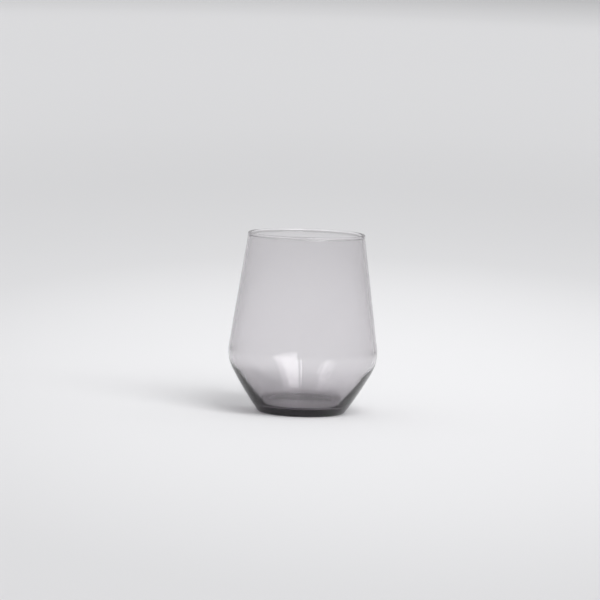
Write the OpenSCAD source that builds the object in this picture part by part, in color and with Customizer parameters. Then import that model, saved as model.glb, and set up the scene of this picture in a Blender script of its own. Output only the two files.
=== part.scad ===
// Stemless whiskey tumbler, empty: one piece of tinted glass, a solid of revolution about Z.
// The origin is the centre of the ring that it stands on, and +Z is up. Millimetres.

/* [Overall] */
// Height from the table to the top of the rim
height = 100; // [92:0.5:108]
// Outside diameter at the rim, over the wall
rim_d = 64.6; // [58:0.2:70]
// Largest outside diameter, at the belly
belly_d = 82.8; // [78:0.2:90]
// Height of the belly's widest ring
belly_z = 33.8; // [30:0.2:38]
// Diameter of the circle where the foot's flat ring meets the heel
foot_d = 45; // [40:0.5:50]

/* [Outside curves] */
// Radius of the rounded belly
belly_round = 21; // [14:0.5:26]
// Radius of the long, slightly bowed flank under the belly
flank_round = 195; // [120:5:400]
// Radius of the heel between the foot and the flank
heel_round = 2.5; // [1:0.1:4]

/* [Rim] */
// Wall thickness just under the rim
rim_wall = 1.5; // [1.2:0.05:2]
// Radius of the fire-polished bead round the rim
bead_round = 1; // [0.9:0.05:1.2]

/* [Inside] */
// Wall thickness at the belly's widest ring
belly_wall = 1.65; // [1.5:0.05:2]
// Height of the cavity's widest ring
cavity_z = 33.2; // [32:0.2:35]
// Radius of the cavity's rounded belly
cavity_round = 16; // [13:0.5:19]
// Radius of the long, slightly bowed side of the cavity under the belly
inner_flank_round = 140; // [100:5:250]
// Thickness of the foot, from the table to the cavity's floor
foot_t = 5.3; // [4.5:0.1:7]
// Diameter of the cavity's flat floor
floor_d = 41.8; // [38:0.2:43]
// Radius between the cavity's floor and its side
floor_round = 4; // [2.5:0.1:5]

/* [Underside] */
// Diameter of the shallow hollow inside the ring that it stands on
punt_d = 38; // [30:0.5:40]
// Depth of that hollow at the centre
punt_depth = 1; // [0.5:0.1:1.5]

/* [Hidden] */
tint = [0.45, 0.43, 0.46, 0.45]; // smoke grey, see-through
turn_facets = 180;
arc_facets = 360;
above_rim = 1; // how far the cavity runs past the top of the wall

// Centres of the outline's arcs, in the half plane of radius and height
bead_c = [rim_d / 2 - rim_wall / 2, height - bead_round];
belly_c = [belly_d / 2 - belly_round, belly_z];
heel_c = [foot_d / 2, heel_round];
flank_c = inner_touch(heel_c, heel_round, belly_c, belly_round, flank_round);
cavity_c = [belly_d / 2 - belly_wall - cavity_round, cavity_z];
floor_c = [floor_d / 2, foot_t + floor_round];
slope_c = inner_touch(floor_c, floor_round, cavity_c, cavity_round, inner_flank_round);
punt_round = (pow(punt_d / 2, 2) + pow(punt_depth, 2)) / (2 * punt_depth);

// Directions of the outline's normals where one stretch runs into the next
heel_a = bearing(flank_c, heel_c);
flank_a = bearing(flank_c, belly_c);
wall_a = tangent_bearing(belly_c, belly_round, bead_c, rim_wall / 2);
inner_wall_a = tangent_bearing(cavity_c, cavity_round, bead_c, -rim_wall / 2);
floor_a = bearing(slope_c, floor_c);
slope_a = bearing(slope_c, cavity_c);

// Unit vector at angle a
function unit(a) = [cos(a), sin(a)];

// Angle of the line from p to q
function bearing(p, q) = atan2(q.y - p.y, q.x - p.x);

// Angle of the normal of the line that touches circles p and q on their right, going from p to q
function tangent_bearing(p, p_round, q, q_round) =
    bearing(p, q) - acos((p_round - q_round) / norm(q - p));

// Centre of the arc of radius big that runs smoothly from circle p up into circle q,
// bowed to the right: it lies big - p_round from p and big - q_round from q
function inner_touch(p, p_round, q, q_round, big) =
    let (gap = norm(q - p), to_p = big - p_round, to_q = big - q_round)
    let (along = (to_p * to_p - to_q * to_q + gap * gap) / (2 * gap))
    let (across = sqrt(to_p * to_p - along * along), way = (q - p) / gap)
    p + along * way + across * [-way.y, way.x];

// The sliver of a disc from just inside the chord between angles a and b out to its arc
module bulge(centre, radius, a, b) {
    depth = 1.5 * radius * (1 / cos((b - a) / 2) - 1);
    intersection() {
        translate(centre) circle(radius, $fn = arc_facets);
        polygon([
            centre + (radius - depth) * unit(a),
            centre + (radius + depth) * unit(a),
            centre + (radius + depth) * unit(b),
            centre + (radius - depth) * unit(b)
        ]);
    }
}

// Half section of the tumbler as if it were solid, up to the middle of the bead
module outside() {
    polygon([
        [0, 0],
        [heel_c.x, 0],
        heel_c + heel_round * unit(heel_a),
        belly_c + belly_round * unit(flank_a),
        belly_c + belly_round * unit(wall_a),
        bead_c + rim_wall / 2 * unit(wall_a),
        [0, bead_c.y]
    ]);
    bulge(heel_c, heel_round, -90, heel_a);
    bulge(flank_c, flank_round, heel_a, flank_a);
    bulge(belly_c, belly_round, flank_a, wall_a);
}

// Half section of the space inside, open at the top
module cavity() {
    mouth = bead_c - rim_wall / 2 * unit(inner_wall_a);
    polygon([
        [0, foot_t],
        [floor_c.x, foot_t],
        floor_c + floor_round * unit(floor_a),
        cavity_c + cavity_round * unit(slope_a),
        cavity_c + cavity_round * unit(inner_wall_a),
        mouth,
        mouth + [0, above_rim],
        [0, mouth.y + above_rim]
    ]);
    bulge(floor_c, floor_round, -90, floor_a);
    bulge(slope_c, inner_flank_round, floor_a, slope_a);
    bulge(cavity_c, cavity_round, slope_a, inner_wall_a);
}

// Rim bead, wall, belly and thick foot, all one glass
module tumbler_glass() {
    color(tint) rotate_extrude($fn = turn_facets) {
        difference() {
            outside();
            cavity();
            translate([0, punt_depth - punt_round]) circle(punt_round, $fn = arc_facets);
        }
        translate(bead_c) circle(bead_round, $fn = arc_facets);
    }
}

tumbler_glass();
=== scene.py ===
"""Smoke-grey stemless tumbler on a pale floor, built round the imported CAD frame."""

import math

import bmesh
import bpy
from mathutils import Matrix, Vector


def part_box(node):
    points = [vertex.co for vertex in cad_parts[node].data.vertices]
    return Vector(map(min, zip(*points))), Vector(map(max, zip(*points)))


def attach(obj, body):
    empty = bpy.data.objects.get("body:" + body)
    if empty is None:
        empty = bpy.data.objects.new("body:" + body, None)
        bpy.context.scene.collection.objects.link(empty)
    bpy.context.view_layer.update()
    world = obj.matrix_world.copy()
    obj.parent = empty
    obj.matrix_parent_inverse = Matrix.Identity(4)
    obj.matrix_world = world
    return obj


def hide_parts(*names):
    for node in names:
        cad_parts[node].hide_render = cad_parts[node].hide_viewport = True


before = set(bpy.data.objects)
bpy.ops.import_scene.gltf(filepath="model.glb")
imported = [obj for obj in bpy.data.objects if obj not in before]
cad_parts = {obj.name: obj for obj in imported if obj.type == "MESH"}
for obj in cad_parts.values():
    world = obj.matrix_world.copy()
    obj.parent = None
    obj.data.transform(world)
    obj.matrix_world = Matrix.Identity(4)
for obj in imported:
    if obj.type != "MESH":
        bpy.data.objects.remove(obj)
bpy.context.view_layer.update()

MM = 0.001
NODE = "tumbler_glass"
SLOT = "smoke_glass"

# The tumbler's outline. Its height and largest radius come from the frame.
_, glass_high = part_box(NODE)
HEIGHT = glass_high.z
BELLY_R = glass_high.x
BELLY_Z = 33.8 * MM
RIM_R = 32.3 * MM
FOOT_R = 22.5 * MM
BELLY_ROUND = 21 * MM
FLANK_ROUND = 195 * MM
HEEL_ROUND = 2.5 * MM
RIM_WALL = 1.5 * MM
BEAD_ROUND = 1 * MM
NECK_ROUND = 0.8 * MM  # the soft hollow where the wall runs into the bead
BELLY_WALL = 1.65 * MM
CAVITY_Z = 33.2 * MM
CAVITY_ROUND = 16 * MM
INNER_FLANK_ROUND = 140 * MM
FOOT_T = 5.3 * MM
FLOOR_R = 20.9 * MM
FLOOR_ROUND = 4 * MM
PUNT_R = 19 * MM
PUNT_DEPTH = 1 * MM

# How finely the outline is turned into a mesh
SEGMENTS = 256
LONGEST_STEP = 0.9 * MM
LARGEST_TURN = 9  # degrees between two points of an arc
SAME_POINT = 1e-7  # points closer than this are one

# Glass
IOR = 1.52
ABSORBED = (74, 81, 74)  # how fast red, green and blue fade in the glass, per metre
ABSORPTION_DENSITY = 100  # how fast a wholly black tint would fade, per metre
WAVE_SCALE = 550  # waves per metre, about
WAVE_DETAIL = 1
WAVE_DISTORTION = 1
WAVE_HEIGHT = 0.006 * MM  # under the belly, where the mould has left the surface uneven
CALM_HEIGHT = 0.0006 * MM  # on the drawn wall above it
WAVY = (27 * MM, 32 * MM)  # from here up to here the waves die away

# Camera
RISE = 5.7  # degrees above the level
DISTANCE = 2.5  # metres from the tumbler's middle
LENS = 270.3  # millimetres
SENSOR = 36  # millimetres
FARTHEST_SEEN = 200
ROLL = 1.86  # degrees
AIM_RIGHT = -0.0021  # metres from the tumbler's middle, as for AIM_UP
AIM_UP = 0.0126

# Studio. A light's bearing is in degrees to the right of the camera. Its half width and the
# heights of its edges are in degrees too, as seen from the foot of the tumbler.
WORLD_LIGHT = 0.56
WORLD_TINT = (1, 1, 1.01, 1)
LIGHT_REACH = 30  # metres from the tumbler to each light
WINDOW = {"bearing": 32, "half_width": 22, "low": 24, "high": 71, "radiance": 4.6}
WINDOW_SHINE = 5.8  # radiance added to the window in the glass, but not on the floor
GAP = {"bearing": 3, "half_width": 1.1, "low": 35, "high": 78, "radiance": 6.5}
PANEL = {"bearing": -55, "half_width": 9, "low": 34, "high": 60, "radiance": 2.5}
# Painted light and shade on the floor: how pale the floor is painted at each distance from
# POOL, the middle of a painted pool of light, where a metre to the side counts as
# POOL_NARROWING metres, so the sides are painted in shade. The last distance is under
# POOL_REACH.
POOL = (0.05, 0.2)
POOL_NARROWING = 2.6
POOL_REACH = 9
PAINTED_FLOOR_LIGHT = (
    (0, 0.912),
    (0.2, 0.905),
    (0.35, 0.88),
    (0.5, 0.85),
    (0.62, 0.818),
    (0.75, 0.768),
    (0.85, 0.738),
    (1.1, 0.71),
    (1.5, 0.683),
    (1.9, 0.685),
    (2.6, 0.72),
    (3.9, 0.745),
    (5, 0.75),
    (6.2, 0.765),
    (7, 0.745),
    (8.6, 0.55),
)
FLOOR_DROP = 0.05 * MM  # the air left under the foot
FLOOR_RADIUS = 40
FLOOR_CORNERS = 64
FLOOR_ROUGHNESS = 0.8
FLOOR_SPECULAR = 0.1
FLOOR_BLUE = 1.012  # how much paler the floor is in blue than in red and green

# Light paths
GLASS_BOUNCES = 32
GLOSSY_BOUNCES = 16


def unit(angle):
    return Vector((math.cos(angle), math.sin(angle)))


def bearing(p, q):
    return math.atan2(q.y - p.y, q.x - p.x)


def tangent_bearing(p, p_round, q, q_round):
    """Angle of the normal of the line that touches circles p and q on their right."""
    return bearing(p, q) - math.acos((p_round - q_round) / (q - p).length)


def inner_touch(p, p_round, q, q_round, big):
    """Centre of the arc of radius big that runs from circle p up into circle q."""
    gap = (q - p).length
    to_p, to_q = big - p_round, big - q_round
    along = (to_p**2 - to_q**2 + gap**2) / (2 * gap)
    across = math.sqrt(to_p**2 - along**2)
    way = (q - p) / gap
    return p + along * way + across * Vector((-way.y, way.x))


def arc(centre, radius, start, end):
    """Points of an arc, both ends included."""
    turn = abs(end - start)
    steps = max(
        math.ceil(turn / math.radians(LARGEST_TURN)),
        math.ceil(turn * radius / LONGEST_STEP),
    )
    return [
        centre + radius * unit(start + (end - start) * i / steps)
        for i in range(steps + 1)
    ]


def line(p, q):
    """Points between p and q, both left out."""
    steps = math.ceil((q - p).length / LONGEST_STEP)
    return [p.lerp(q, i / steps) for i in range(1, steps)]


def joined(*stretches):
    """One run of points through all the stretches, with straight lines between them."""
    points = list(stretches[0])
    for stretch in stretches[1:]:
        points += line(points[-1], stretch[0])
        points += stretch
    return points


def neck(bead, wall_normal):
    """Arc of the hollow under the bead on the side that wall_normal points to, upwards."""
    side = 1 if wall_normal.x > 0 else -1
    down = Vector((wall_normal.y, -wall_normal.x)) * side
    out = RIM_WALL / 2 + NECK_ROUND
    drop = math.sqrt((BEAD_ROUND + NECK_ROUND) ** 2 - out**2)
    centre = bead + out * wall_normal + drop * down
    from_wall = math.atan2(-wall_normal.y, -wall_normal.x)
    from_bead = bearing(centre, bead)
    turn = (from_bead - from_wall + math.pi) % (2 * math.pi) - math.pi
    return centre, from_wall, from_wall + turn


def glass_outline():
    """The section from the middle of the underside, up the outside and down the inside."""
    bead = Vector((RIM_R - RIM_WALL / 2, HEIGHT - BEAD_ROUND))
    belly = Vector((BELLY_R - BELLY_ROUND, BELLY_Z))
    heel = Vector((FOOT_R, HEEL_ROUND))
    flank = inner_touch(heel, HEEL_ROUND, belly, BELLY_ROUND, FLANK_ROUND)
    cavity = Vector((BELLY_R - BELLY_WALL - CAVITY_ROUND, CAVITY_Z))
    floor = Vector((FLOOR_R, FOOT_T + FLOOR_ROUND))
    punt_round = (PUNT_R**2 + PUNT_DEPTH**2) / (2 * PUNT_DEPTH)
    punt = Vector((0, PUNT_DEPTH - punt_round))

    down = -math.pi / 2
    heel_a = bearing(flank, heel)
    flank_a = bearing(flank, belly)
    wall_a = tangent_bearing(belly, BELLY_ROUND, bead, RIM_WALL / 2)
    inner_wall_a = tangent_bearing(cavity, CAVITY_ROUND, bead, -RIM_WALL / 2)
    slope = inner_touch(floor, FLOOR_ROUND, cavity, CAVITY_ROUND, INNER_FLANK_ROUND)
    floor_a = bearing(slope, floor)
    slope_a = bearing(slope, cavity)

    outer_c, outer_from, outer_to = neck(bead, unit(wall_a))
    inner_c, inner_from, inner_to = neck(bead, -unit(inner_wall_a))
    bead_from = bearing(bead, outer_c)
    bead_to = bearing(bead, inner_c) % (2 * math.pi)
    return joined(
        arc(punt, punt_round, math.pi / 2, bearing(punt, Vector((PUNT_R, 0)))),
        arc(heel, HEEL_ROUND, down, heel_a),
        arc(flank, FLANK_ROUND, heel_a, flank_a),
        arc(belly, BELLY_ROUND, flank_a, wall_a),
        arc(outer_c, NECK_ROUND, outer_from, outer_to),
        arc(bead, BEAD_ROUND, bead_from, bead_to),
        arc(inner_c, NECK_ROUND, inner_to, inner_from),
        arc(cavity, CAVITY_ROUND, inner_wall_a, slope_a),
        arc(slope, INNER_FLANK_ROUND, slope_a, floor_a),
        arc(floor, FLOOR_ROUND, floor_a, down),
        [Vector((0, FOOT_T))],
    )


def without_doubles(points):
    """The points with each repeat of the one before left out."""
    kept = [points[0]]
    kept += [q for p, q in zip(points, points[1:]) if (q - p).length > SAME_POINT]
    return kept


def lathe(name, outline):
    """A closed mesh turned from an outline that starts and ends on the axis."""
    mesh = bpy.data.meshes.new(name)
    built = bmesh.new()
    turns = [2 * math.pi * i / SEGMENTS for i in range(SEGMENTS)]
    rings = [
        [built.verts.new((p.x * math.cos(a), p.x * math.sin(a), p.y)) for a in turns]
        for p in outline[1:-1]
    ]
    for low, high in zip(rings, rings[1:]):
        for i in range(SEGMENTS):
            j = (i + 1) % SEGMENTS
            built.faces.new((low[i], low[j], high[j], high[i]))
    ends = ((outline[0], rings[0], -1), (outline[-1], rings[-1], 1))
    for point, ring, step in ends:
        middle = built.verts.new((0, 0, point.y))
        for i in range(SEGMENTS):
            built.faces.new((middle, ring[i], ring[(i + step) % SEGMENTS]))
    bmesh.ops.recalc_face_normals(built, faces=built.faces)
    built.to_mesh(mesh)
    built.free()
    mesh.shade_smooth()
    piece = bpy.data.objects.new(name, mesh)
    bpy.context.scene.collection.objects.link(piece)
    return piece


def smoke_glass():
    """Clear smoke-grey glass, tinted by its depth, with faint waves in its surface."""
    material = bpy.data.materials.new(SLOT)
    material.use_nodes = True
    nodes, links = material.node_tree.nodes, material.node_tree.links
    surface = nodes["Principled BSDF"]
    surface.inputs["Base Color"].default_value = (1, 1, 1, 1)
    surface.inputs["Roughness"].default_value = 0
    surface.inputs["IOR"].default_value = IOR
    surface.inputs["Transmission Weight"].default_value = 1

    place = nodes.new("ShaderNodeNewGeometry")
    split = nodes.new("ShaderNodeSeparateXYZ")
    links.new(place.outputs["Position"], split.inputs["Vector"])
    calming = nodes.new("ShaderNodeMapRange")
    calming.interpolation_type = "SMOOTHSTEP"
    calming.inputs["From Min"].default_value = WAVY[0]
    calming.inputs["From Max"].default_value = WAVY[1]
    calming.inputs["To Min"].default_value = 1
    calming.inputs["To Max"].default_value = CALM_HEIGHT / WAVE_HEIGHT
    links.new(split.outputs["Z"], calming.inputs["Value"])
    ripple = nodes.new("ShaderNodeTexNoise")
    ripple.inputs["Scale"].default_value = WAVE_SCALE
    ripple.inputs["Detail"].default_value = WAVE_DETAIL
    ripple.inputs["Distortion"].default_value = WAVE_DISTORTION
    links.new(place.outputs["Position"], ripple.inputs["Vector"])
    waves = nodes.new("ShaderNodeMath")
    waves.operation = "MULTIPLY"
    links.new(ripple.outputs["Fac"], waves.inputs[0])
    links.new(calming.outputs["Result"], waves.inputs[1])
    bump = nodes.new("ShaderNodeBump")
    bump.inputs["Distance"].default_value = WAVE_HEIGHT
    links.new(waves.outputs["Value"], bump.inputs["Height"])
    links.new(bump.outputs["Normal"], surface.inputs["Normal"])

    depth = nodes.new("ShaderNodeVolumeAbsorption")
    let_through = [1 - rate / ABSORPTION_DENSITY for rate in ABSORBED]
    depth.inputs["Color"].default_value = (*let_through, 1)
    depth.inputs["Density"].default_value = ABSORPTION_DENSITY
    links.new(depth.outputs["Volume"], nodes["Material Output"].inputs["Volume"])
    return material


def floor_material():
    """Matt white, with a pool of light painted round the tumbler and shade painted farther
    off and to the sides.
    """
    material = bpy.data.materials.new("studio_floor")
    material.use_nodes = True
    nodes, links = material.node_tree.nodes, material.node_tree.links
    surface = nodes["Principled BSDF"]
    surface.inputs["Roughness"].default_value = FLOOR_ROUGHNESS
    surface.inputs["Specular IOR Level"].default_value = FLOOR_SPECULAR

    place = nodes.new("ShaderNodeNewGeometry")
    squeeze = nodes.new("ShaderNodeVectorMath")
    squeeze.operation = "MULTIPLY"
    squeeze.inputs[1].default_value = (POOL_NARROWING, 1, 0)
    reach = nodes.new("ShaderNodeVectorMath")
    reach.operation = "DISTANCE"
    reach.inputs[1].default_value = (POOL[0] * POOL_NARROWING, POOL[1], 0)
    share = nodes.new("ShaderNodeMath")
    share.operation = "DIVIDE"
    share.inputs[1].default_value = POOL_REACH
    # painted light and shade: the floor's base colour follows the distance from the middle
    # of the painted pool of light
    painted_light_ramp = nodes.new("ShaderNodeValToRGB")
    painted_light_ramp.color_ramp.interpolation = "B_SPLINE"
    for distance, value in PAINTED_FLOOR_LIGHT:
        stop = painted_light_ramp.color_ramp.elements.new(distance / POOL_REACH)
        stop.color = (value, value, value * FLOOR_BLUE, 1)
    painted_light_ramp.color_ramp.elements.remove(painted_light_ramp.color_ramp.elements[0])
    painted_light_ramp.color_ramp.elements.remove(painted_light_ramp.color_ramp.elements[-1])
    links.new(place.outputs["Position"], squeeze.inputs[0])
    links.new(squeeze.outputs["Vector"], reach.inputs[0])
    links.new(reach.outputs["Value"], share.inputs[0])
    links.new(share.outputs["Value"], painted_light_ramp.inputs["Fac"])
    links.new(painted_light_ramp.outputs["Color"], surface.inputs["Base Color"])
    return material


def make_floor():
    mesh = bpy.data.meshes.new("studio_floor")
    built = bmesh.new()
    bmesh.ops.create_circle(
        built, cap_ends=True, segments=FLOOR_CORNERS, radius=FLOOR_RADIUS
    )
    built.to_mesh(mesh)
    built.free()
    floor = bpy.data.objects.new("studio_floor", mesh)
    floor.location.z = -FLOOR_DROP
    bpy.context.scene.collection.objects.link(floor)
    mesh.materials.append(floor_material())


def upright_light(name, spec):
    """An upright rectangle of light, LIGHT_REACH away, that faces the tumbler's axis."""
    low = LIGHT_REACH * math.tan(math.radians(spec["low"]))
    high = LIGHT_REACH * math.tan(math.radians(spec["high"]))
    light = bpy.data.lights.new(name, "AREA")
    light.shape = "RECTANGLE"
    light.size = 2 * LIGHT_REACH * math.tan(math.radians(spec["half_width"]))
    light.size_y = high - low
    light.energy = spec["radiance"] * math.pi * light.size * light.size_y
    lamp = bpy.data.objects.new(name, light)
    turn = math.radians(spec["bearing"])
    lamp.location = (
        LIGHT_REACH * math.sin(turn),
        -LIGHT_REACH * math.cos(turn),
        (low + high) / 2,
    )
    lamp.rotation_euler = (math.pi / 2, 0, turn)
    lamp.visible_camera = False
    bpy.context.scene.collection.objects.link(lamp)
    return lamp


def make_world():
    world = bpy.data.worlds.new("studio")
    world.use_nodes = True
    background = world.node_tree.nodes["Background"]
    background.inputs["Color"].default_value = WORLD_TINT
    background.inputs["Strength"].default_value = WORLD_LIGHT
    bpy.context.scene.world = world


def make_camera():
    """The camera looks just past the tumbler's middle from RISE above the level."""
    middle = Vector((0, 0, HEIGHT / 2))
    rise, roll = math.radians(RISE), math.radians(ROLL)
    forward = Vector((0, math.cos(rise), -math.sin(rise)))
    level_up = Vector((0, math.sin(rise), math.cos(rise)))
    right = math.cos(roll) * Vector((1, 0, 0)) + math.sin(roll) * level_up
    up = math.cos(roll) * level_up - math.sin(roll) * Vector((1, 0, 0))
    aim = middle + AIM_RIGHT * right + AIM_UP * up
    eye = middle - DISTANCE * forward

    data = bpy.data.cameras.new("camera")
    data.lens = LENS
    data.sensor_width = SENSOR
    data.clip_end = FARTHEST_SEEN
    camera = bpy.data.objects.new("camera", data)
    back = (eye - aim).normalized()
    across = up.cross(back).normalized()
    camera.matrix_world = Matrix.Translation(eye) @ Matrix(
        (across, back.cross(across), back)
    ).transposed().to_4x4()
    bpy.context.scene.collection.objects.link(camera)
    bpy.context.scene.camera = camera


def set_rendering():
    scene = bpy.context.scene
    scene.view_settings.view_transform = "Standard"
    scene.cycles.max_bounces = GLASS_BOUNCES
    scene.cycles.transmission_bounces = GLASS_BOUNCES
    scene.cycles.glossy_bounces = GLOSSY_BOUNCES
    scene.cycles.use_denoising = True


tumbler = lathe("tumbler", without_doubles(glass_outline()))
tumbler.data.materials.append(smoke_glass())
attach(tumbler, "root")
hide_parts(NODE)

make_floor()
make_world()
upright_light("window", WINDOW)
shine = upright_light("window_shine", {**WINDOW, "radiance": WINDOW_SHINE})
shine.visible_diffuse = False
upright_light("window_gap", GAP)
panel = upright_light("side_panel", PANEL)
panel.visible_diffuse = False
make_camera()
set_rendering()
